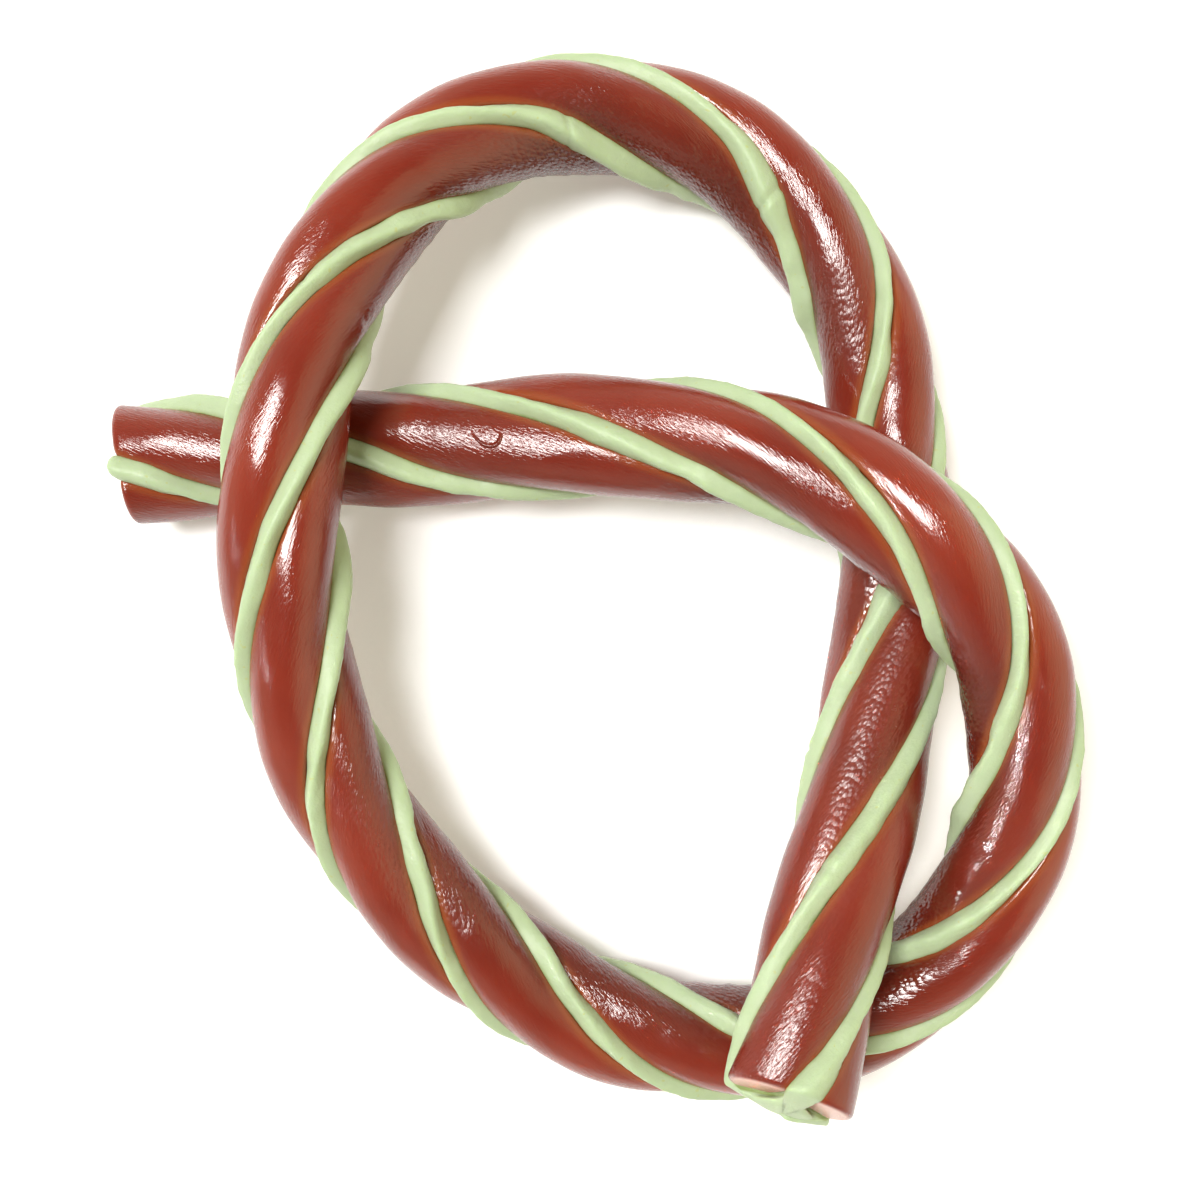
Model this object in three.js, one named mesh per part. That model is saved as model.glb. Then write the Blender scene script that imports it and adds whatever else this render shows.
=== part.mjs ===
// A twisted jelly rope about 630 mm long, tied in one loose overhand knot and laid flat.
// Three red jelly strands wind round a pale green filling, which fills the grooves between
// them and shows as three stripes. Millimetres, +Z up. The knot rests on Z = 0, with the
// middle of its outline over the origin.

import * as THREE from "three";

// The rope's section.
const ROPE_RADIUS = 9.1;
const STRANDS = 3;
const CROWN_SHIFT = 2.8; // how far a strand's outer arc has its centre off the rope's axis
const CROWN_HALF_ANGLE = 44; // degrees of that arc to each side of the strand's middle
const CROWN_POINTS = 7;
const GROOVE_DEPTH = 2.0; // from the rope's round to where the groove's walls start
const ARM_HALF_WIDTH = 1.45; // the filling's arm inside the rope, half its thickness
const HUB_RADIUS = 2.5; // the filling's core, where its three arms meet
const CLEARANCE = 0.3; // between the filling and the strands beside it

// The filling's stripe in the groove.
const STRIPE_HALF_WIDTH = 1.8;
const STRIPE_EDGE_RADIUS = 8.4;
const STRIPE_CROWN_RADIUS = 9.0;
const SQUEEZE_OUT = 0.8; // how much further it stands out on the inner side of a bend
const SQUEEZE_WIDTH = 0.7; // how much wider it gets there, on each side
const LUMP_HEIGHT = 0.28;
const LUMP_SPACING = 17; // along the rope

// The cut ends. Each cut is slanted, so that the rope reaches further on one side.
const START_SLANT_SIDE = -0.05; // length gained for each millimetre towards the right
const END_SLANT_SIDE = -0.03;
const END_SLANT_UP = -0.19; // and for each millimetre up
const SLANT_REACH = 14; // the slant fades out over this much of the rope
const END_FLARE = 0.02; // the shears press the ends a little wider and lower

// The rope's centre line from the low end to the raised end: x, y, height above the table,
// how many stripes have crossed the top by there, and the rope's thickness as a share. It
// lies on the table at a height of about 9 and passes over itself at 27.5. Points are about
// 26 mm apart. x and y are counted from a point near the middle of the knot, and
// ROUTE_MIDDLE is the middle of the knot's outline.
const ROUTE = [
  [-67.7, 19.1, 9.4, 0.08, 1.06],
  [-45, 20.9, 9, 0.71, 1.03],
  [-18.9, 22, 10.2, 1.38, 1.07],
  [6.5, 22.7, 15.5, 1.97, 1.07],
  [31.1, 19.6, 22, 2.61, 1.01],
  [53.3, 6.9, 27.7, 3.32, 1.01],
  [68.1, -13.7, 25, 4.18, 0.94],
  [69.2, -38.5, 19.5, 4.89, 0.94],
  [57, -61.4, 12.5, 5.54, 0.95],
  [33.5, -72.8, 9.1, 6.18, 0.97],
  [7, -69.1, 9, 6.97, 1.01],
  [-15.5, -54.4, 12, 7.84, 1.01],
  [-31.6, -33.1, 18, 8.7, 0.99],
  [-38.9, -8.9, 24, 9.56, 0.98],
  [-39.3, 16.5, 27.8, 10.29, 0.99],
  [-33.6, 42, 25.5, 11, 0.97],
  [-19.4, 62.9, 20, 11.75, 0.98],
  [3, 73.2, 13.5, 12.41, 1],
  [28.3, 67.6, 10, 13.05, 0.99],
  [45.8, 48.7, 9, 13.66, 1],
  [52.8, 24, 9, 14.38, 0.98],
  [53.7, -2, 9.2, 15.13, 1.02],
  [48.8, -26.9, 14, 15.72, 1.03],
  [41.4, -50.2, 22, 16.31, 1.03],
  [33.5, -74.6, 29.6, 16.98, 1.05],
];
const ROUTE_MIDDLE = [4.92, 0.12];
const STEPS_PER_LEG = 5;

const JELLY_RED = "#96412f";
const FILLING_GREEN = "#cfe2b0";

const STEPS = (ROUTE.length - 1) * STEPS_PER_LEG;
const STRIPE_ANGLE = (2 * Math.PI) / STRANDS;
const UP = new THREE.Vector3(0, 0, 1);

const centreLine = new THREE.CatmullRomCurve3(
  ROUTE.map(([x, y, z]) => new THREE.Vector3(x - ROUTE_MIDDLE[0], y - ROUTE_MIDDLE[1], z)),
  false, "catmullrom", 0.5);
const stripesAndGirth = new THREE.CatmullRomCurve3(
  ROUTE.map((point) => new THREE.Vector3(point[3], point[4], 0)), false, "catmullrom", 0.5);

// The rope at one step: its centre, its own axes, its twist, its thickness as a share and
// how sharply it bends.
// The side axis points right along the way and the lifted axis up, both square to the rope.
function stationAt(step) {
  const share = step / STEPS;
  const centre = centreLine.getPoint(share);
  const along = centreLine.getTangent(share);
  const side = new THREE.Vector3().crossVectors(along, UP).normalize();
  const lifted = new THREE.Vector3().crossVectors(side, along);
  const before = centreLine.getTangent(Math.max(share - 0.5 / STEPS, 0));
  const after = centreLine.getTangent(Math.min(share + 0.5 / STEPS, 1));
  const turn = new THREE.Vector3().crossVectors(after, before).z;
  const { x: stripes, y: girth } = stripesAndGirth.getPoint(share);
  return { centre, along, side, lifted, bend: turn, twist: stripes * STRIPE_ANGLE, girth };
}

const stations = Array.from({ length: STEPS + 1 }, (_, step) => stationAt(step));
stations[0].distance = 0;
for (let step = 1; step <= STEPS; step += 1) {
  const leg = stations[step].centre.distanceTo(stations[step - 1].centre);
  stations[step].distance = stations[step - 1].distance + leg;
}
const ROPE_LENGTH = stations[STEPS].distance;
const SHARPEST_BEND = Math.max(...stations.map((station) => station.bend));

// A point of the section, given across (right) and up from the rope's axis, set in place.
function place(station, across, above) {
  const fromStart = Math.max(1 - station.distance / SLANT_REACH, 0);
  const fromEnd = Math.max(1 - (ROPE_LENGTH - station.distance) / SLANT_REACH, 0);
  const near = fromStart + fromEnd;
  const right = across * station.girth * (1 + END_FLARE * near);
  const high = above * station.girth * (1 - END_FLARE * near);
  const slip = fromEnd * (right * END_SLANT_SIDE + high * END_SLANT_UP)
    - fromStart * right * START_SLANT_SIDE;
  const point = station.centre.clone()
    .addScaledVector(station.side, right)
    .addScaledVector(station.lifted, high)
    .addScaledVector(station.along, slip);
  point.z = Math.max(point.z, 0);
  return point;
}

// Turns a point of one arm, given across and out along the arm, by an angle from straight up.
function turned(across, out, angle) {
  return [
    across * Math.cos(angle) + out * Math.sin(angle),
    out * Math.cos(angle) - across * Math.sin(angle),
  ];
}

// One strand: a wedge with a crowned outer face, clockwise as seen along the rope.
function strandSection(station, strand) {
  const middle = station.twist + (strand + 0.5) * STRIPE_ANGLE;
  const wallRadius = ROPE_RADIUS - GROOVE_DEPTH;
  const wallAngle = STRIPE_ANGLE / 2 - Math.asin((ARM_HALF_WIDTH + CLEARANCE) / wallRadius);
  const crown = [];
  for (let i = 0; i < CROWN_POINTS; i += 1) {
    const angle = THREE.MathUtils.degToRad(CROWN_HALF_ANGLE) * ((2 * i) / (CROWN_POINTS - 1) - 1);
    const reach = CROWN_SHIFT * Math.cos(angle)
      + Math.sqrt((ROPE_RADIUS - CROWN_SHIFT) ** 2 - (CROWN_SHIFT * Math.sin(angle)) ** 2);
    crown.push(turned(0, reach, middle + angle));
  }
  return [
    turned(0, HUB_RADIUS + CLEARANCE, middle),
    turned(0, wallRadius, middle - wallAngle),
    ...crown,
    turned(0, wallRadius, middle + wallAngle),
  ];
}

// The filling: three arms from a small core, each ending in the stripe that shows.
// A stripe stands out and spreads where the bend squeezes it, and is lumpy all along.
function fillingSection(station) {
  const outline = [];
  const squeeze = Math.max(station.bend / SHARPEST_BEND, 0);
  for (let arm = 0; arm < STRANDS; arm += 1) {
    const angle = station.twist - arm * STRIPE_ANGLE;
    const inner = Math.max(Math.sin(angle), 0) * squeeze;
    const wave = (2 * Math.PI * station.distance) / LUMP_SPACING + 2 * arm;
    const lump = LUMP_HEIGHT * Math.sin(wave) * inner;
    const half = STRIPE_HALF_WIDTH + SQUEEZE_WIDTH * inner;
    const out = SQUEEZE_OUT * inner + lump;
    const wall = ROPE_RADIUS - GROOVE_DEPTH;
    outline.unshift(
      turned(0, HUB_RADIUS, angle - STRIPE_ANGLE / 2),
      turned(-ARM_HALF_WIDTH, wall, angle),
      turned(-half, STRIPE_EDGE_RADIUS + out / 2, angle),
      turned(0, STRIPE_CROWN_RADIUS + out, angle),
      turned(half, STRIPE_EDGE_RADIUS + out / 2, angle),
      turned(ARM_HALF_WIDTH, wall, angle),
    );
  }
  return outline;
}

// The triangles of a flat end, facing back along the rope or forward.
function endFaces(outline, firstIndex, forward) {
  const points = outline.map(([across, above]) => new THREE.Vector2(across, above));
  const clockwise = (a, b, c) =>
    (points[b].x - points[a].x) * (points[c].y - points[a].y)
    < (points[c].x - points[a].x) * (points[b].y - points[a].y);
  return THREE.ShapeUtils.triangulateShape(points, []).flatMap(([a, b, c]) => {
    const face = clockwise(a, b, c) === forward ? [a, b, c] : [a, c, b];
    return face.map((index) => index + firstIndex);
  });
}

// Sweeps a section along the whole rope and closes both ends.
function sweep(name, color, roughness, sectionAt) {
  const sections = stations.map(sectionAt);
  const around = sections[0].length;
  const positions = [];
  const faces = [];
  stations.forEach((station, step) => {
    sections[step].forEach(([across, above]) => {
      positions.push(...place(station, across, above).toArray());
    });
    if (step === STEPS) return;
    for (let i = 0; i < around; i += 1) {
      const here = step * around + i;
      const beside = step * around + ((i + 1) % around);
      faces.push(here, beside, beside + around, here, beside + around, here + around);
    }
  });
  faces.push(...endFaces(sections[0], 0, false));
  faces.push(...endFaces(sections[STEPS], STEPS * around, true));
  const geometry = new THREE.BufferGeometry();
  geometry.setAttribute("position", new THREE.Float32BufferAttribute(positions, 3));
  geometry.setIndex(faces);
  geometry.computeVertexNormals();
  const mesh = new THREE.Mesh(
    geometry, new THREE.MeshStandardMaterial({ color, roughness, metalness: 0 }));
  mesh.name = name;
  return mesh;
}

const rope = new THREE.Group();
for (let strand = 0; strand < STRANDS; strand += 1) {
  rope.add(sweep(`red_strand_${strand + 1}`, JELLY_RED, 0.2,
    (station) => strandSection(station, strand)));
}
rope.add(sweep("green_filling", FILLING_GREEN, 0.5, fillingSection));

export default rope;
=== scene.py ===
"""A thick jelly rope, twisted from three red strands with pale green filling between them,
tied in one loose overhand knot and laid on a pale floor, in plain soft studio light."""

import math

import bmesh
import bpy
import numpy as np
from bpy.props import FloatProperty, FloatVectorProperty, IntProperty, PointerProperty
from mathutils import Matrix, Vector


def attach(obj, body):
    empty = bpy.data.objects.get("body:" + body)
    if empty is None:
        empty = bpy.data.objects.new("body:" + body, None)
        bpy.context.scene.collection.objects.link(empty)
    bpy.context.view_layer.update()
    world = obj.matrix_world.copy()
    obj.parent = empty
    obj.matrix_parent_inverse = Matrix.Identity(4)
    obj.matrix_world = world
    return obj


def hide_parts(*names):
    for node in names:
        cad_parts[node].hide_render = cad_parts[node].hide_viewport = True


bl_info = {
    "name": "Twisted jelly rope",
    "version": (1, 0, 0),
    "blender": (4, 5, 0),
    "location": "3D View > Sidebar > Jelly rope",
    "description": "Makes a knotted rope of red jelly strands with pale green filling between them",
    "category": "Add Mesh",
}

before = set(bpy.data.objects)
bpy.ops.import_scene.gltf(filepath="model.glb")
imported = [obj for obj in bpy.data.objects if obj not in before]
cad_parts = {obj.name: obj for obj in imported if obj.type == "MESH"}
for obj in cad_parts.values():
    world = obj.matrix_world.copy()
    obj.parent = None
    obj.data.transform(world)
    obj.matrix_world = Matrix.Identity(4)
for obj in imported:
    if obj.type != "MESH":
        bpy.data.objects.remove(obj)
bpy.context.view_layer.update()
MM = 0.001

# The rope's centre line from the low end to the raised end, in millimetres: x, y, height,
# how many stripes have crossed the top by there, and the rope's thickness as a share.
ROUTE = [
    (-67.7, 19.1, 9.4, 0.08, 1.06),
    (-45, 20.9, 9, 0.71, 1.03),
    (-18.9, 22, 10.2, 1.38, 1.07),
    (6.5, 22.7, 15.5, 1.97, 1.07),
    (31.1, 19.6, 22, 2.61, 1.01),
    (53.3, 6.9, 27.7, 3.32, 1.01),
    (68.1, -13.7, 25, 4.18, 0.94),
    (69.2, -38.5, 19.5, 4.89, 0.94),
    (57, -61.4, 12.5, 5.54, 0.95),
    (33.5, -72.8, 9.1, 6.18, 0.97),
    (7, -69.1, 9, 6.97, 1.01),
    (-15.5, -54.4, 12, 7.84, 1.01),
    (-31.6, -33.1, 18, 8.7, 0.99),
    (-38.9, -8.9, 24, 9.56, 0.98),
    (-39.3, 16.5, 27.8, 10.29, 0.99),
    (-33.6, 42, 25.5, 11, 0.97),
    (-19.4, 62.9, 20, 11.75, 0.98),
    (3, 73.2, 13.5, 12.41, 1),
    (28.3, 67.6, 10, 13.05, 0.99),
    (45.8, 48.7, 9, 13.66, 1),
    (52.8, 24, 9, 14.38, 0.98),
    (53.7, -2, 9.2, 15.13, 1.02),
    (48.8, -26.9, 14, 15.72, 1.03),
    (41.4, -50.2, 22, 16.31, 1.03),
    (33.5, -74.6, 29.6, 16.98, 1.05),
]
ROUTE_MIDDLE = (4.92, 0.12)
SLANT_REACH = 14  # the cuts' slants fade out over this much of the rope
START_SLANT = 0.05  # length gained for each millimetre towards the right
END_SLANT = (-0.03, -0.19)  # and at the raised end towards the right and up
END_FLARE = 0.02  # the shears press the ends a little wider and lower
STRANDS = 3
STRIPE_ANGLE = 2 * math.pi / STRANDS
LEG_LENGTH = 26.3  # between two points of the route, in millimetres
MEASURING_POINTS = 6001  # along the route, to measure its length
NUDGE = 0.001  # in legs, to find the rope's direction
BEND_REACH = 0.35  # in legs, to each side, to find how sharply it bends
SHARP_BEND = 0.3  # a bend this sharp counts as 1
NEARLY_ZERO = 1e-9
BULGE_RINGS = 9
BULGE_POLE = 1.45  # the bulge's last ring, just short of its pole, in radians from its rim
RIM_RINGS = 5  # over a cut edge's rounding
SHOULDER_POINTS = 7
BEAD_POINTS = 19  # over a stripe
# THIN_FROM is also where the painted orange glow beside the filling begins.
THIN_FROM = 0.76  # of the way from the crown's middle to its end, where a strand gets thin
PROUD_FADE = 6  # the power by which proud cut edges fade out along the rope
LOW_END_PROUD = (0.1, 0.9)  # how far the filling stands proud, and the top stripe besides
HIGH_END_PROUD = (0.15, 0.5)
STRAND_HALF_THICKNESS = 3.2
STRIPE_FOOT = 7  # from the rope's axis; what lies further out shows
STRIPE_SUNK = 0.04  # how far a stripe's edges lie below the strands' shoulders
STRETCH_SUNK = 0.2  # and its crown outside a sharp bend, besides
WALL_SUNK = 0.35  # how far below the shoulders the arms' flat walls end
SKIN_FROM = 5  # from the rope's axis, where a strand's skin starts to be uneven
SKIN_FADE = 2.5  # and how much further out it is so in full
CUT_RIM = 0.12  # the cut face's colour fades out over this much of the rope
MOST_BENT = 1.2
BULGE_ROUNDS = 1.6  # how fast the bulge's section turns round
BULGE_PALES = 3  # and how fast it takes the colour of the stripes' crowns
ARMS_APART = 40  # between the arms' places in the noise

# Where the rope lies over itself: the legs of the route below and above.
CROSSINGS = [(1.25, 14.25), (20.6, 4.9), (8.8, 23.65)]
CROSSING_GAP = 0.03  # half the room between them
CROSSING_CURVE = 0.015  # how fast that room grows, for each square millimetre

# Creases in the filling: leg of the route, arm of the filling, depth in millimetres.
CREASES = [
    (16.85, 0, 0.5),
    (18.35, 1, 0.7),
    (20.95, 0, 0.6),
    (22.05, 0, 0.4),
    (22.8, 1, 0.35),
    (14.9, 0, 0.5),
    (13.7, 0, 0.4),
]

# Where the strands' skin is pebbled: leg of the route, angle from straight up towards the
# right along the way, length to each side in millimetres, and how strongly.
PEBBLED = [
    (22.0, 10, 24, 1),
    (19.3, 10, 9, 1),
    (11.6, 25, 14, 1),
    (23.6, 20, 13, 0.4),
    (16.7, 30, 12, 1),
]
PEBBLED_WIDTH = 5  # round the rope, to each side

# Places where the filling is pushed further out: leg of the route, arm, how far out, how much
# wider on each side, and over what length to each side, in millimetres.
SWELLS = [
    (0.2, 0, 0.0, 0.35, 6),
    (0.75, 0, 0.0, -0.35, 8),
    (0.75, 1, 0.9, 0.5, 9),
    (14.55, 1, 0.8, 0.3, 6),
    (15.15, 1, 0.5, 0.2, 4),
    (13.4, 0, 1.3, 0.7, 8),
    (16.5, 2, 0.6, 0.3, 5),
    (15.95, 2, 0.5, 0.2, 5),
    (17.3, 0, 0.7, 0.4, 8),
    (18.3, 1, 0.4, 0.3, 6),
    (18.95, 1, 0.5, 0.3, 6),
    (6.6, 1, 0.5, 0.3, 3),
    (6.95, 1, 0.7, 0.3, 5),
    (20.8, 0, 0.2, 0.6, 8),
    (23.9, 2, 0.2, 0.75, 8),
    (22.2, 1, 0.0, 0.3, 16),
]

# A small hooked nick, at this place along and round each strand, and its curve. Only the nick
# in the second strand faces up.
SCAR = (59.6, 10.0)
SCAR_RADIUS = 2.6
SCAR_DEPTH = 0.3

# Spots a metre in the two materials.
CLOUDS, GLOSS_PATCHES, SKIN_PATCHES, SKIN_SCALES, SKIN_PEBBLES = 45, 500, 60, 3000, 1300
PALE_PATCHES, YELLOW_SPECKS, GRAIN, DULL_PATCHES = 260, 900, 1500, 700
PALE_PATCH = (0.47, 0.58, 0.37)
YELLOW_SPECK = (0.44, 0.46, 0.15)

# The lights: place, what they point at and size, in metres, and colour.
KEY = ((-0.29, 0.12, 0.85), (0, 0, 0), (0.30, 0.42), (1, 0.99, 0.96))
PANEL = ((0.75, 0.0, 0.45), (0, 0, 0), (1.5, 1.0), (1, 0.86, 0.46))
SIDE = ((-0.75, -0.32, 0.52), (0.066, -0.025, 0.03), (0.09, 0.09), (1, 1, 1))
SIDE_SPREAD = math.radians(6)
ROOM_COLOUR = (1, 0.955, 0.76)
FLOOR_SIZE = 2
FLOOR_COLOURS = ((0.92, 0.93, 0.955), (0.945, 0.955, 0.98))
FLOOR_GLOW_COLOUR = (1, 0.98, 0.92)


class RopeShape(bpy.types.PropertyGroup):
    """The rope's sizes, in millimetres"""

    rope_radius: FloatProperty(
        name="Rope radius", description="From the rope's axis to a strand's crown",
        default=9.1, min=1)
    crown_shift: FloatProperty(
        name="Crown shift", description="From the rope's axis to the middle of a strand's outer arc",
        default=3.2)
    shoulder_radius: FloatProperty(
        name="Shoulder radius", description="Rounding of a strand's edge beside the groove",
        default=0.8)
    arm_half_width: FloatProperty(
        name="Arm half width", description="Half the filling's thickness between two strands",
        default=1.45)
    contact: FloatProperty(
        name="Contact gap", description="Room between a strand's wall and the filling", default=0.05)
    hub_radius: FloatProperty(
        name="Hub radius", description="The filling's core", default=2.5)
    stripe_half_width: FloatProperty(
        name="Stripe half width", description="Half the width of the stripe that shows", default=1.7)
    stripe_crown_radius: FloatProperty(
        name="Stripe crown radius", description="From the rope's axis to the stripe's crown",
        default=9.0)
    squeeze_out: FloatProperty(
        name="Squeeze out", description="How far the filling stands out inside a bend", default=0.8)
    squeeze_width: FloatProperty(
        name="Squeeze width", description="How much wider the stripe is inside a bend", default=0.75)
    stretch_width: FloatProperty(
        name="Stretch width", description="How much narrower the stripe is outside a bend",
        default=0.35)
    end_round: FloatProperty(
        name="End rounding", description="Rounding of the edges of the two cuts", default=0.8)
    end_bulge: FloatProperty(
        name="End bulge", description="How far the filling swells out of the raised cut", default=1.7)
    bulge_radius: FloatProperty(
        name="Bulge radius", description="How wide that bulge is over the strands' cut faces",
        default=5.5)
    step: FloatProperty(
        name="Step", description="Distance between rings along the rope", default=0.6, min=0.1)
    crown_points: IntProperty(
        name="Crown points", description="Points over a strand's crown", default=29, min=5)


class RopeFinish(bpy.types.PropertyGroup):
    """The rope's colours"""

    jelly: FloatVectorProperty(
        name="Jelly", description="The red jelly", subtype="COLOR", size=3, min=0, max=1,
        default=(0.254, 0.031, 0.0150))
    jelly_deep: FloatVectorProperty(
        name="Deep jelly", description="The jelly where it is thick", subtype="COLOR", size=3,
        min=0, max=1, default=(0.191, 0.018, 0.0085))
    # The next two colours make the jelly darker on the inner side of a bend and lighter on its outer
    # side.
    jelly_dark: FloatVectorProperty(
        name="Dark jelly", description="The jelly where a bend presses it together", subtype="COLOR",
        size=3, min=0, max=1, default=(0.085, 0.0115, 0.0065))
    jelly_bright: FloatVectorProperty(
        name="Bright jelly", description="The jelly where a bend stretches it", subtype="COLOR", size=3,
        min=0, max=1, default=(0.320, 0.045, 0.021))
    # Painted glow: orange jelly beside the filling, standing in for light through the jelly's thin
    # edges and bounced off the green.
    jelly_painted_glow: FloatVectorProperty(
        name="Thin jelly", description="The jelly beside the filling", subtype="COLOR", size=3,
        min=0, max=1, default=(0.300, 0.072, 0.018))
    jelly_cut: FloatVectorProperty(
        name="Cut jelly", description="The jelly's cut face", subtype="COLOR", size=3, min=0, max=1,
        default=(0.62, 0.30, 0.23))
    filling: FloatVectorProperty(
        name="Filling", description="The green filling", subtype="COLOR", size=3, min=0, max=1,
        default=(0.415, 0.52, 0.32))
    # Painted shade: the filling darker and more olive towards the stripes' edges and down between the
    # strands.
    filling_painted_shade: FloatVectorProperty(
        name="Filling shade", description="The filling in its hollows", subtype="COLOR", size=3,
        min=0, max=1, default=(0.22, 0.275, 0.085))


class RopeStudio(bpy.types.PropertyGroup):
    """The camera and the light"""

    camera_height: FloatProperty(
        name="Camera height", description="Above the floor", default=0.22, unit="LENGTH")
    camera_x: FloatProperty(
        name="Camera X", description="The camera's place across", default=0.00198, unit="LENGTH")
    camera_y: FloatProperty(
        name="Camera Y", description="The camera's place along", default=-0.00272, unit="LENGTH")
    lens: FloatProperty(
        name="Lens", description="Focal length in millimetres on a 36 mm sensor", default=39.74)
    wall_light: FloatProperty(
        name="Wall light", description="Strength of the light from all sides", default=0.6)
    ceiling_light: FloatProperty(
        name="Ceiling light", description="Strength of the light from straight above", default=0.12)
    floor_glow: FloatProperty(
        name="Floor glow", description="The pale floor's own light", default=0.22)
    key_power: FloatProperty(
        name="Key power", description="The bright light overhead", default=10.5, unit="POWER")
    side_power: FloatProperty(
        name="Side power", description="The small narrow light at the lower left", default=0.008,
        unit="POWER")
    panel_power: FloatProperty(
        name="Panel power", description="The large soft panel at the right", default=3.0, unit="POWER")


def smooth_step(value):
    value = np.clip(value, 0, 1)
    return value * value * (3 - 2 * value)


def ripple(points, wavelength, seed, stretch=(1, 1, 1), waves=28):
    """Smooth seeded noise of about one wavelength, near -1 to 1, at points in millimetres."""
    draw = np.random.default_rng(seed)
    direction = draw.normal(size=(waves, 3))
    direction /= np.linalg.norm(direction, axis=1)[:, None]
    pace = 2 * math.pi / wavelength * draw.uniform(0.7, 1.3, waves)
    waves_in = direction * pace[:, None] / np.array(stretch)
    phase = draw.uniform(0, 2 * math.pi, waves)
    return np.cos(points @ waves_in.T + phase).sum(axis=-1) / math.sqrt(waves)


def spline(points, where):
    """The smooth curve through evenly counted points, at places given in legs."""
    points = np.asarray(points, float)
    points = np.vstack([2 * points[0] - points[1], points, 2 * points[-1] - points[-2]])
    leg = np.clip(np.floor(where).astype(int), 0, len(points) - 4)
    t = (where - leg)[:, None]
    before, start, end, after = (points[leg + i] for i in range(4))
    leave = (end - before) / 2
    arrive = (after - start) / 2
    cubic = 2 * start - 2 * end + leave + arrive
    square = 3 * end - 3 * start - 2 * leave - arrive
    return cubic * t ** 3 + square * t ** 2 + leave * t + start


class RopePath:
    """The rope's centre line at its rings, in millimetres: centres, axes, twist, thickness, bend
    and distance. With a bulge, more rings lie beyond the raised cut, up to the bulge's height."""

    def __init__(self, shape, bulge=0):
        legs = np.linspace(0, len(ROUTE) - 1, MEASURING_POINTS)
        line = spline(ROUTE, legs)[:, :3]
        measured = np.concatenate([[0], np.cumsum(np.linalg.norm(np.diff(line, axis=0), axis=1))])
        self.length = measured[-1]
        rings = self.rings(shape)
        extra = np.sin(np.linspace(0, BULGE_POLE, BULGE_RINGS)[1:]) if bulge else []
        self.bulged = np.concatenate([0 * rings, extra])
        self.beyond = bulge * self.bulged
        self.distance = np.concatenate([rings, np.full(len(extra), self.length)])
        self.leg = np.interp(self.distance, measured, legs)
        places = spline(ROUTE, self.leg)
        self.centre = places[:, :3] - np.array([*ROUTE_MIDDLE, 0])
        self.twist = places[:, 3] * STRIPE_ANGLE
        self.girth = places[:, 4]
        self.along = unit(self.ahead(NUDGE) - self.ahead(-NUDGE))
        self.side = unit(np.cross(self.along, [0, 0, 1]))
        self.lifted = np.cross(self.side, self.along)
        here = places[:, :3]
        bend = (unit(self.ahead(BEND_REACH) - here + NEARLY_ZERO)
                - unit(here - self.ahead(-BEND_REACH) + NEARLY_ZERO))
        last = legs[-1] - BEND_REACH
        bend[self.leg < BEND_REACH] = bend[self.leg >= BEND_REACH][0]
        bend[self.leg > last] = bend[self.leg <= last][-1]
        self.bend = bend / SHARP_BEND

    def ahead(self, legs):
        """Points of the route this many legs ahead of the rings, and not past its ends."""
        return spline(ROUTE, np.clip(self.leg + legs, 0, len(ROUTE) - 1))[:, :3]

    def rings(self, shape):
        """Distances of the rings: even along the rope and close together round the cut edges."""
        step = shape.step * 1
        count = int(self.length / step)
        even = np.linspace(shape.end_round, self.length - shape.end_round, count)
        close = shape.end_round * (1 - np.cos(np.linspace(0, math.pi / 2, RIM_RINGS)[:-1]))
        return np.concatenate([close, even, self.length - close[::-1]])


def unit(vectors):
    return vectors / np.linalg.norm(vectors, axis=-1, keepdims=True)


def turned(across, out, angle):
    """A point given across and out along an arm, turned by an angle from straight up."""
    return (across * np.cos(angle) + out * np.sin(angle),
            out * np.cos(angle) - across * np.sin(angle))


def strand_outline(shape):
    """One strand's section with its crown straight up, clockwise from its foot: across, out and
    how near each point is to the filling. The shoulders are arcs that touch crown and wall."""
    crown_radius = shape.rope_radius - shape.crown_shift
    shoulder = shape.shoulder_radius
    wall = shape.arm_half_width + shape.contact
    tilt = STRIPE_ANGLE / 2
    arm = np.array([math.sin(tilt), math.cos(tilt)])
    inward = np.array([-math.cos(tilt), math.sin(tilt)])
    middle = np.array([0, shape.crown_shift])
    reach = math.sqrt((crown_radius - shoulder) ** 2 - (wall + shoulder - middle @ inward) ** 2)
    centre = (middle @ arm + reach) * arm + (wall + shoulder) * inward
    crown_end = math.atan2(*(centre - middle))
    crown_angle = np.linspace(0, crown_end, shape.crown_points // 2 + 1)
    crown = middle + crown_radius * np.column_stack([np.sin(crown_angle), np.cos(crown_angle)])
    wall_angle = tilt + math.pi / 2
    round_angle = np.linspace(crown_end, wall_angle, SHOULDER_POINTS)[1:]
    rounded = centre + shoulder * np.column_stack([np.sin(round_angle), np.cos(round_angle)])
    foot = np.array([0, shape.hub_radius + shape.contact])
    wall_points = rounded[-1] + np.outer([0.35, 0.75], foot - rounded[-1])
    half = np.vstack([crown, rounded, wall_points])
    thin = smooth_step((crown_angle / crown_end - THIN_FROM) / (1 - THIN_FROM))
    near = np.concatenate([thin, np.ones(len(round_angle) + len(wall_points))])
    mirrored = half[:0:-1] * [-1, 1]
    points = np.vstack([foot, mirrored, half])
    near = np.concatenate([[1], near[:0:-1], near])
    return points[:, 0], points[:, 1], near


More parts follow.
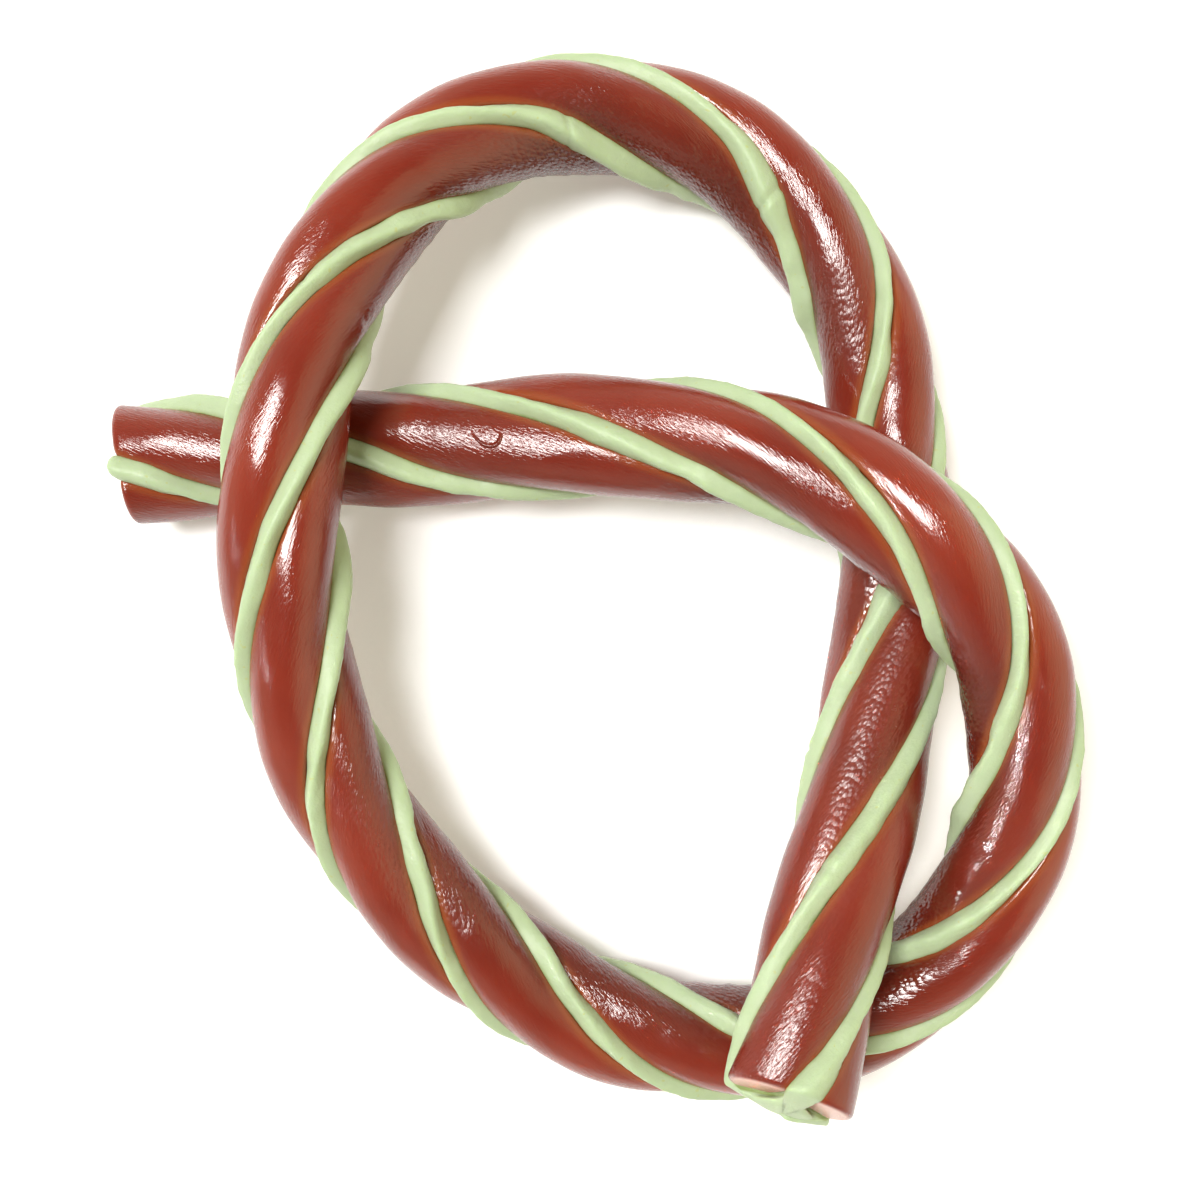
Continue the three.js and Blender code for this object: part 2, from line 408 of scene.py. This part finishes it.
def shoulder_height(shape, half):
    """How far out the strands' shoulders are at this distance from an arm's middle."""
    centre = shape.arm_half_width + shape.contact + shape.shoulder_radius
    crown_radius = shape.rope_radius - shape.crown_shift
    tilt = STRIPE_ANGLE / 2
    offset = centre - shape.crown_shift * math.sin(tilt)
    reach = math.sqrt((crown_radius - shape.shoulder_radius) ** 2 - offset ** 2)
    height = shape.crown_shift * math.cos(tilt) + reach
    gap = np.clip(centre - half, 0, 0.95 * shape.shoulder_radius)
    return height + np.sqrt(shape.shoulder_radius ** 2 - gap ** 2)


def filling_outline(shape, half, edge, crown):
    """Sections of the filling's three arms, for stripes of the given half width, edge and crown
    radius, as arrays of ring by arm. Gives across, out, and how near each point is to the crown."""
    across, out = [], []
    rings = half.shape[0]
    bead = np.linspace(-math.pi / 2, math.pi / 2, BEAD_POINTS)
    wall_top = shoulder_height(shape, 0) - WALL_SUNK
    ones = np.ones((rings, 1))
    foot = shape.hub_radius * np.array([-math.sin(STRIPE_ANGLE / 2), math.cos(STRIPE_ANGLE / 2)])
    wall = np.array([-shape.arm_half_width, wall_top])
    left = foot + np.outer([0, 0.25, 0.5, 0.75, 1], wall - foot)
    right = left[:0:-1] * [-1, 1]
    for arm in range(STRANDS):
        width, low, high = (values[:, arm, None] for values in (half, edge, crown))
        stripe = low + (high - low) * np.cos(bead) ** 2
        across.append(np.hstack([left[:, 0] * ones, width * np.sin(bead), right[:, 0] * ones]))
        out.append(np.hstack([left[:, 1] * ones, stripe, right[:, 1] * ones]))
    return across, out, np.concatenate([np.zeros(len(left)), np.cos(bead), np.zeros(len(right))])


def lay(path, across, above, proud=(0, 0)):
    """Points of the section at every ring, set in place along the rope. At the low and the
    raised end they stand proud by the given millimetres."""
    from_start = np.clip(1 - path.distance / SLANT_REACH, 0, None)[:, None]
    from_end = np.clip(1 - (path.length - path.distance) / SLANT_REACH, 0, None)[:, None]
    near = from_start + from_end
    right = across * path.girth[:, None] * (1 + END_FLARE * near)
    high = above * path.girth[:, None] * (1 - END_FLARE * near)
    slip = (from_end * (END_SLANT[0] * right + END_SLANT[1] * high) + from_start * START_SLANT * right
            + proud[1] * from_end ** PROUD_FADE - proud[0] * from_start ** PROUD_FADE
            + path.beyond[:, None])
    return (path.centre[:, None]
            + path.side[:, None] * right[..., None]
            + path.lifted[:, None] * high[..., None]
            + path.along[:, None] * slip[..., None])


def press(path, points):
    """Flattens the rope where it lies on the floor and where two stretches lie on each other."""
    points[..., 2] = np.maximum(points[..., 2], 0)
    for below, above in CROSSINGS:
        low, high = (spline(ROUTE, np.array([leg]))[0, :3] for leg in (below, above))
        middle = (low + high) / 2 - np.array([*ROUTE_MIDDLE, 0])
        room = CROSSING_CURVE * ((points[..., :2] - middle[:2]) ** 2).sum(axis=-1) - CROSSING_GAP
        for leg, sign in ((below, 1), (above, -1)):
            near = np.abs(path.leg - leg) < 1
            height = points[near, :, 2]
            limit = middle[2] + sign * room[near]
            points[near, :, 2] = np.minimum(height, limit) if sign > 0 else np.maximum(height, limit)
    return points


def tube(name, points, values):
    """A closed tube through rings of points, in metres, with one float layer for each value."""
    rings, around = points.shape[:2]
    mesh = bmesh.new()
    layers = {key: mesh.verts.layers.float.new(key) for key in values}
    bmesh.ops.create_grid(mesh, x_segments=rings - 1, y_segments=around, size=0.5)
    placed = points * MM
    for vert in mesh.verts:
        ring = round((vert.co.x + 0.5) * (rings - 1))
        spot = round((vert.co.y + 0.5) * around) % around
        for key, layer in layers.items():
            vert[layer] = values[key][ring, spot]
        vert.co = placed[ring, spot]
    bmesh.ops.remove_doubles(mesh, verts=mesh.verts, dist=1e-7)
    rim = [edge for edge in mesh.edges if edge.is_boundary]
    ends = bmesh.ops.holes_fill(mesh, edges=rim, sides=0)["faces"]
    ends = bmesh.ops.triangulate(mesh, faces=ends, ngon_method="EAR_CLIP")["faces"]
    bmesh.ops.recalc_face_normals(mesh, faces=mesh.faces)
    for face in mesh.faces:
        face.smooth = True
    data = bpy.data.meshes.new(name)
    mesh.to_mesh(data)
    mesh.free()
    piece = bpy.data.objects.new(name, data)
    bpy.context.scene.collection.objects.link(piece)
    return piece


def inside_bend(path, across, above):
    """How much each point of the section is squeezed by the bend and how much stretched, where 1
    is the inner or outer side of a sharp bend."""
    size = np.hypot(across, above)
    outward = (path.side[:, None] * (across / size)[..., None]
               + path.lifted[:, None] * (above / size)[..., None])
    amount = (outward * path.bend[:, None]).sum(axis=-1)
    return np.clip(amount, 0, MOST_BENT), np.clip(-amount, 0, MOST_BENT)


def end_inset(path, shape):
    """How far each ring is drawn in to round the cut edges."""
    depth = np.minimum(path.distance, path.length - path.distance)
    share = np.clip(1 - depth / shape.end_round, 0, 1)
    return shape.end_round * (1 - np.sqrt(1 - share ** 2))


def cut_mark(path):
    """1 on the cut faces, falling to 0 just behind their rims."""
    depth = np.minimum(path.distance, path.length - path.distance)
    return np.clip(1 - depth / CUT_RIM, 0, 1)


def skin_places(path, across, out):
    """Places on a strand's skin, in metres along it and round its section."""
    steps = np.hypot(np.diff(across), np.diff(out))
    around = np.concatenate([[0], np.cumsum(steps)])[None, :] * MM
    along = path.distance[:, None] * MM
    return along + 0 * around, around + 0 * along


def pebbled_places(shape, path, right, high):
    """How pebbled the skin is at the listed places, 0 to 1."""
    pebbled = 0 * right
    for leg, angle, reach, amount in PEBBLED:
        turn = np.arctan2(right, high) - math.radians(angle)
        aside = np.abs(np.arctan2(np.sin(turn), np.cos(turn))) * shape.rope_radius / PEBBLED_WIDTH
        ahead = (path.leg[:, None] - leg) * LEG_LENGTH / reach
        pebbled = np.maximum(pebbled, amount * smooth_step(1.6 - np.hypot(aside, ahead)))
    return pebbled


def make_strand(shape, strand):
    """One red strand as a mesh."""
    path = RopePath(shape)
    across, out, near = strand_outline(shape)
    middle_radius = (shape.rope_radius + shape.hub_radius) / 2
    shrink = 1 - end_inset(path, shape)[:, None] / STRAND_HALF_THICKNESS
    angle = path.twist[:, None] + (strand + 0.5) * STRIPE_ANGLE
    flat_across, flat_out = across * shrink, middle_radius + (out - middle_radius) * shrink
    right, high = turned(flat_across, flat_out, angle)
    squeezed, stretched = inside_bend(path, right, high)
    straight = np.stack([np.broadcast_to(path.distance[:, None], right.shape), right, high], axis=-1)
    outer = smooth_step((out - SKIN_FROM) / SKIN_FADE) * (1 - 0.9 * near)
    slow = 0.10 * ripple(straight, 26, 11 + strand) + 0.05 * ripple(straight, 9, 21 + strand)
    pebble = ripple(straight, 2.3, 31 + strand, stretch=(1, 1.5, 1.5))
    rows = ripple(straight, 4.2, 41 + strand, stretch=(1, 2.6, 2.6))
    swell = outer * (slow + squeezed * (0.055 * pebble + 0.07 * rows))
    size = np.hypot(right, high)
    right, high = right * (1 + swell / size), high * (1 + swell / size)
    points = press(path, lay(path, right, high))
    along, around = skin_places(path, across, out)
    straightness = np.clip(1 - 1.6 * np.linalg.norm(path.bend, axis=1), 0, 1)
    values = {
        "along": along, "around": around, "cut": cut_mark(path)[:, None] + 0 * right,
        "edge": near + 0 * right, "squeezed": squeezed, "stretched": stretched,
        "straight": straightness[:, None] + 0 * right,
        "pebbled": pebbled_places(shape, path, right, high)}
    return tube(f"jelly_strand_{strand + 1}", points, values)


def crease(gap, depth):
    """A crease across a stripe, with the swelling beside it, at distances along the rope: how far
    out it puts the stripe and how much wider it makes it on each side."""
    out = depth * (0.55 * np.exp(-(gap / 3.2) ** 2) - np.exp(-(gap / 0.55) ** 2))
    wider = 0.5 * depth * (np.exp(-(gap / 3.0) ** 2) - 0.9 * np.exp(-(gap / 0.7) ** 2))
    return out, wider


def stripe_sizes(shape, path, spot, squeezed, stretched):
    """Half widths of the three stripes, and how far out they are pushed, at every ring."""
    lumps = ripple(spot, 7, 61)
    waves = ripple(spot, 17, 62)
    half = (shape.stripe_half_width + shape.squeeze_width * squeezed
            - shape.stretch_width * stretched + 0.12 * waves + 0.08 * lumps * (1 + squeezed))
    out = shape.squeeze_out * squeezed + 0.1 * waves + lumps * (0.04 + 0.22 * squeezed)
    for leg, arm, rise, spread, reach in SWELLS:
        swell = np.exp(-((path.leg - leg) * LEG_LENGTH / reach) ** 2)
        out[:, arm] += rise * swell
        half[:, arm] += spread * swell
    for leg, arm, depth in CREASES:
        rise, wider = crease((path.leg - leg) * LEG_LENGTH, depth)
        out[:, arm] += rise
        half[:, arm] += wider
    return half, out


def make_filling(shape):
    """The green filling as a mesh: three arms from a small core, with lumpy stripes. It swells
    out of the raised cut."""
    path = RopePath(shape, shape.end_bulge)
    arms = np.arange(STRANDS)
    angle = path.twist[:, None] - arms * STRIPE_ANGLE
    squeezed, stretched = inside_bend(path, np.sin(angle), np.cos(angle))
    spot = np.stack([np.broadcast_to(path.distance[:, None], angle.shape),
                     np.broadcast_to(arms * ARMS_APART, angle.shape), 0 * angle], axis=-1)
    half, out = stripe_sizes(shape, path, spot, squeezed, stretched)
    edge = shoulder_height(shape, half) - STRIPE_SUNK
    crown = shape.stripe_crown_radius + out - STRETCH_SUNK * stretched
    across, outs, crest = filling_outline(shape, half, edge, crown)
    drift = 0.15 * ripple(spot, 13, 63)
    order = arms[::-1]
    placed = []
    for arm in order:
        drifted = across[arm] + drift[:, arm, None] * (outs[arm] > STRIPE_FOOT)
        placed.append(turned(drifted, outs[arm], angle[:, arm, None]))
    right, high = (np.hstack(part) for part in zip(*placed))
    share = np.tile(crest, STRANDS)
    first_arm = np.repeat(order == 0, len(crest))
    bulged = path.bulged[:, None]
    inset = end_inset(path, shape)[:, None] / shape.rope_radius
    shrink = (1 - inset) * np.sqrt(1 - bulged ** 2)
    rounding = np.minimum(BULGE_ROUNDS * bulged, 1) * (shape.bulge_radius / np.hypot(right, high) - 1)
    right, high = right * shrink * (1 + rounding), high * shrink * (1 + rounding)
    straight = np.stack([np.broadcast_to(path.distance[:, None], right.shape), right, high], axis=-1)
    cream = 0.05 * ripple(straight, 2.6, 71) + 0.03 * ripple(straight, 1.3, 72)
    size = np.hypot(right, high)
    swell = np.where(size > STRIPE_FOOT, cream, 0) / size
    right, high = right * (1 + swell), high * (1 + swell)
    proud = [base + more * first_arm * share for base, more in (LOW_END_PROUD, HIGH_END_PROUD)]
    points = press(path, lay(path, right, high, proud))
    values = {"crown": np.maximum(share + 0 * right, smooth_step(BULGE_PALES * bulged))}
    return tube("cream_filling", points, values)


class Wire:
    """A number on its way through a material. Its sums, products and powers add Math nodes."""

    def __init__(self, recipe, socket):
        self.recipe = recipe
        self.socket = socket

    def math(self, operation, *values):
        return self.recipe.add("ShaderNodeMath", {"operation": operation}, dict(enumerate(values)))

    def __add__(self, other):
        return self.math("ADD", self, other)

    def __mul__(self, other):
        return self.math("MULTIPLY", self, other)

    def __sub__(self, other):
        return self.math("SUBTRACT", self, other)

    def __rsub__(self, other):
        return self.math("SUBTRACT", other, self)

    def __pow__(self, other):
        return self.math("POWER", self, other)

    __radd__ = __add__
    __rmul__ = __mul__


class Recipe:
    """The nodes of one material or world and the ways to add to them."""

    def __init__(self, block, shader="Principled BSDF"):
        self.block = block
        block.use_nodes = True
        self.tree = block.node_tree
        self.shader = self.tree.nodes[shader]

    def add(self, kind, settings=None, inputs=None, out=0):
        """A node of this type, with its settings and its sockets' values or links."""
        node = self.tree.nodes.new(kind)
        for key, value in (settings or {}).items():
            setattr(node, key, value)
        for key, value in (inputs or {}).items():
            self.feed(node.inputs[key], value)
        return Wire(self, node.outputs[out])

    def feed(self, socket, value):
        if isinstance(value, Wire):
            self.tree.links.new(value.socket, socket)
        elif hasattr(socket.default_value, "__len__") and len(value) < len(socket.default_value):
            socket.default_value = (*value, 1)
        else:
            socket.default_value = value

    def set(self, **values):
        """Values or links of the shader's own sockets, with _ for a space in their names."""
        for key, value in values.items():
            self.feed(self.shader.inputs[key.replace("_", " ")], value)

    def layer(self, name):
        """A float layer of the mesh."""
        return self.add("ShaderNodeAttribute", {"attribute_name": name}, out=2)

    def noise(self, scale, detail=2, roughness=0.5, place=None):
        """Noise of this many spots a metre, on the object's own coordinates or in a plane, 0 to 1."""
        settings = {"noise_dimensions": "2D" if place else "3D"}
        return self.add("ShaderNodeTexNoise", settings, {
            "Vector": place or self.add("ShaderNodeTexCoord", out=3),
            "Scale": scale, "Detail": detail, "Roughness": roughness})

    def rope_place(self, stretch=1, lean=0):
        """Metres along and round the rope, drawn out along it and leaning."""
        along, around = self.layer("along"), self.layer("around")
        return self.add("ShaderNodeCombineXYZ", {}, {
            0: (along + around * lean) * (1 / stretch), 1: around})

    def clear(self, value, low, high):
        """value from low to high made 0 to 1, smoothly."""
        return self.add("ShaderNodeMapRange", {"interpolation_type": "SMOOTHSTEP"}, {
            "Value": value, "From Min": low, "From Max": high})

    def mix(self, share, first, second):
        """A colour between two others."""
        return self.add("ShaderNodeMix", {"data_type": "RGBA"}, {0: share, 6: first, 7: second}, out=2)

    def bump(self, height):
        """A normal from heights in millimetres."""
        return self.add("ShaderNodeBump", {}, {"Height": height, "Strength": 1, "Distance": MM})


def scar(jelly):
    """The small hooked nick in the skin, 0 to 1: the lower part of a ring round its place."""
    along, around = (value * MM for value in SCAR)
    gap = jelly.add("ShaderNodeVectorMath", {"operation": "DISTANCE"}, {
        0: jelly.rope_place(), 1: (along, around, 0)}, out=1) - SCAR_RADIUS * MM
    ring = 1 - jelly.clear(gap.math("ABSOLUTE", gap), 0, 0.35 * MM)
    below = jelly.clear(jelly.layer("around"), (SCAR[1] - 0.2) * MM, (SCAR[1] + 0.8) * MM)
    ahead = jelly.clear(jelly.layer("along"), (SCAR[0] - 2.2) * MM, (SCAR[0] - 1.2) * MM)
    return ring * below * ahead


def jelly_material(finish):
    """Glossy translucent red jelly, with a painted orange glow beside the filling that stands in for
    light through the jelly's thin edges. Its skin is finely scaly in patches, and pebbled at the
    listed places and where a bend squeezes it."""
    jelly = Recipe(bpy.data.materials.new("jelly_red"))
    edge = jelly.layer("edge")
    squeeze = jelly.layer("squeezed")
    squeezed = jelly.clear(squeeze, 0.2, 0.7)
    pebbled = jelly.layer("pebbled")
    cloud = jelly.clear(jelly.noise(CLOUDS, 3), 0.3, 0.7)
    body = jelly.mix(cloud, finish.jelly_deep[:], finish.jelly[:])
    stretched = jelly.clear(jelly.layer("stretched"), 0.0, 0.9)
    # Lighter on the outer side of a bend, and below, darker on the inner side.
    body = jelly.mix(stretched * 0.8, body, finish.jelly_bright[:])
    body = jelly.mix(jelly.clear(squeeze, -0.3, 0.9) * 0.9, body, finish.jelly_dark[:])
    # Painted glow: orange beside the filling, for light through the thin jelly edges.
    body = jelly.mix(edge ** 2 * 0.6, body, finish.jelly_painted_glow[:])
    body = jelly.mix(jelly.layer("cut"), body, finish.jelly_cut[:])
    patch = jelly.clear(jelly.noise(SKIN_PATCHES, 2), 0.40, 0.60)
    scales = jelly.noise(SKIN_SCALES, 2, 0.6, jelly.rope_place(4.5, 0.35))
    pebbles = jelly.add("ShaderNodeTexVoronoi", {"voronoi_dimensions": "2D"}, {
        "Vector": jelly.rope_place(1.3, 0.3), "Scale": SKIN_PEBBLES})
    height = (scales * (0.03 + 0.06 * patch + 0.03 * jelly.layer("straight"))
              - pebbles * (squeezed * 0.13 + pebbled * 0.08) + scar(jelly) * SCAR_DEPTH)
    jelly.set(
        Base_Color=body, Roughness=jelly.noise(GLOSS_PATCHES, 3) * 0.08 + pebbled * 0.12 + 0.1,
        Normal=jelly.bump(height),
        IOR=1.5, Specular_IOR_Level=0.78,
        Subsurface_Weight=0.3, Subsurface_Radius=(0.006, 0.0012, 0.0006), Subsurface_Scale=0.6)
    return jelly.block


def filling_material(finish):
    """Satin pale green filling with faint yellow specks."""
    filling = Recipe(bpy.data.materials.new("filling_green"))
    crown = filling.layer("crown")
    # Painted shade: towards the stripes' edges and on the walls, where the crown falls to 0, the
    # filling goes darker and olive.
    body = filling.mix(filling.clear(crown, 0.0, 0.6), finish.filling_painted_shade[:], finish.filling[:])
    patch = filling.clear(filling.noise(PALE_PATCHES, 3), 0.35, 0.7)
    body = filling.mix(patch * 0.35, body, PALE_PATCH)
    speck = filling.clear(filling.noise(YELLOW_SPECKS, 1), 0.70, 0.76)
    body = filling.mix(speck * 0.5, body, YELLOW_SPECK)
    filling.set(
        Base_Color=body, Roughness=filling.noise(DULL_PATCHES, 2) * 0.2 + 0.36,
        Normal=filling.bump(filling.noise(GRAIN, 3, 0.6) * 0.09),
        IOR=1.45, Subsurface_Weight=0.4, Subsurface_Radius=(0.002, 0.0024, 0.0012),
        Subsurface_Scale=0.5)
    return filling.block


def dress(piece, node, material):
    """Gives a piece its finish and lets it stand for its node."""
    piece.data.materials.append(material)
    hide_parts(node)
    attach(piece, "root")


class ROPE_OT_strands(bpy.types.Operator):
    """Makes the three red jelly strands"""

    bl_idname = "rope.strands"
    bl_label = "Jelly strands"

    def execute(self, context):
        material = jelly_material(context.scene.rope_finish)
        for strand in range(STRANDS):
            piece = make_strand(context.scene.rope_shape, strand)
            dress(piece, f"red_strand_{strand + 1}", material)
        return {"FINISHED"}


class ROPE_OT_filling(bpy.types.Operator):
    """Makes the pale green filling"""

    bl_idname = "rope.filling"
    bl_label = "Green filling"

    def execute(self, context):
        piece = make_filling(context.scene.rope_shape)
        dress(piece, "green_filling", filling_material(context.scene.rope_finish))
        return {"FINISHED"}


def area_light(name, power, place, target, size, colour):
    """A rectangular soft light that the camera doesn't see."""
    light = bpy.data.lights.new(name, "AREA")
    light.shape = "RECTANGLE"
    light.size, light.size_y = size
    light.energy = power
    light.color = colour
    lamp = bpy.data.objects.new(name, light)
    lamp.location = place
    lamp.rotation_euler = (Vector(target) - Vector(place)).to_track_quat("-Z", "Y").to_euler()
    lamp.visible_camera = False
    bpy.context.scene.collection.objects.link(lamp)
    return lamp


def make_floor(studio):
    """A plain pale floor."""
    mesh = bmesh.new()
    bmesh.ops.create_grid(mesh, x_segments=1, y_segments=1, size=FLOOR_SIZE)
    data = bpy.data.meshes.new("floor")
    mesh.to_mesh(data)
    mesh.free()
    floor = bpy.data.objects.new("floor", data)
    bpy.context.scene.collection.objects.link(floor)
    paint = Recipe(bpy.data.materials.new("floor_pale"))
    paint.set(Base_Color=paint.mix(paint.noise(4, 2), *FLOOR_COLOURS), Roughness=0.8,
              Emission_Color=FLOOR_GLOW_COLOUR, Emission_Strength=studio.floor_glow)
    data.materials.append(paint.block)


class ROPE_OT_stage(bpy.types.Operator):
    """Makes the floor, the soft light and the camera"""

    bl_idname = "rope.stage"
    bl_label = "Stage"

    def execute(self, context):
        studio = context.scene.rope_studio
        make_floor(studio)
        room = Recipe(bpy.data.worlds.new("soft_room"), "Background")
        direction = room.add("ShaderNodeTexCoord", out=0)
        height = room.add("ShaderNodeSeparateXYZ", {}, {0: direction}, out=2)
        glow = 1 - room.clear(height, 0.3, 0.9)
        room.set(Color=ROOM_COLOUR,
                 Strength=glow * (studio.wall_light - studio.ceiling_light) + studio.ceiling_light)
        context.scene.world = room.block
        area_light("key", studio.key_power, *KEY)
        area_light("panel", studio.panel_power, *PANEL)
        side = area_light("side", studio.side_power, *SIDE)
        side.data.spread = SIDE_SPREAD
        camera = bpy.data.cameras.new("camera")
        camera.sensor_width = 36
        camera.lens = studio.lens
        camera.clip_start = 0.01
        view = bpy.data.objects.new("camera", camera)
        view.location = (studio.camera_x, studio.camera_y, studio.camera_height)
        context.scene.collection.objects.link(view)
        context.scene.camera = view
        context.scene.view_settings.view_transform = "Standard"
        return {"FINISHED"}


class ROPE_PT_panel(bpy.types.Panel):
    """The pieces, in the order they are made"""

    bl_label = "Jelly rope"
    bl_idname = "ROPE_PT_panel"
    bl_space_type = "VIEW_3D"
    bl_region_type = "UI"
    bl_category = "Jelly rope"

    def draw(self, context):
        for step in STEPS:
            self.layout.operator(step.bl_idname)
        for group in (context.scene.rope_shape, context.scene.rope_finish, context.scene.rope_studio):
            for key in group.__annotations__:
                self.layout.prop(group, key)


STEPS = (ROPE_OT_strands, ROPE_OT_filling, ROPE_OT_stage)
CLASSES = (RopeShape, RopeFinish, RopeStudio, *STEPS, ROPE_PT_panel)


def register():
    for item in CLASSES:
        bpy.utils.register_class(item)
    bpy.types.Scene.rope_shape = PointerProperty(type=RopeShape)
    bpy.types.Scene.rope_finish = PointerProperty(type=RopeFinish)
    bpy.types.Scene.rope_studio = PointerProperty(type=RopeStudio)


def unregister():
    del bpy.types.Scene.rope_shape
    del bpy.types.Scene.rope_finish
    del bpy.types.Scene.rope_studio
    for item in reversed(CLASSES):
        bpy.utils.unregister_class(item)


def main():
    register()
    bpy.ops.rope.strands()
    bpy.ops.rope.filling()
    bpy.ops.rope.stage()


if __name__ == "__main__":
    main()
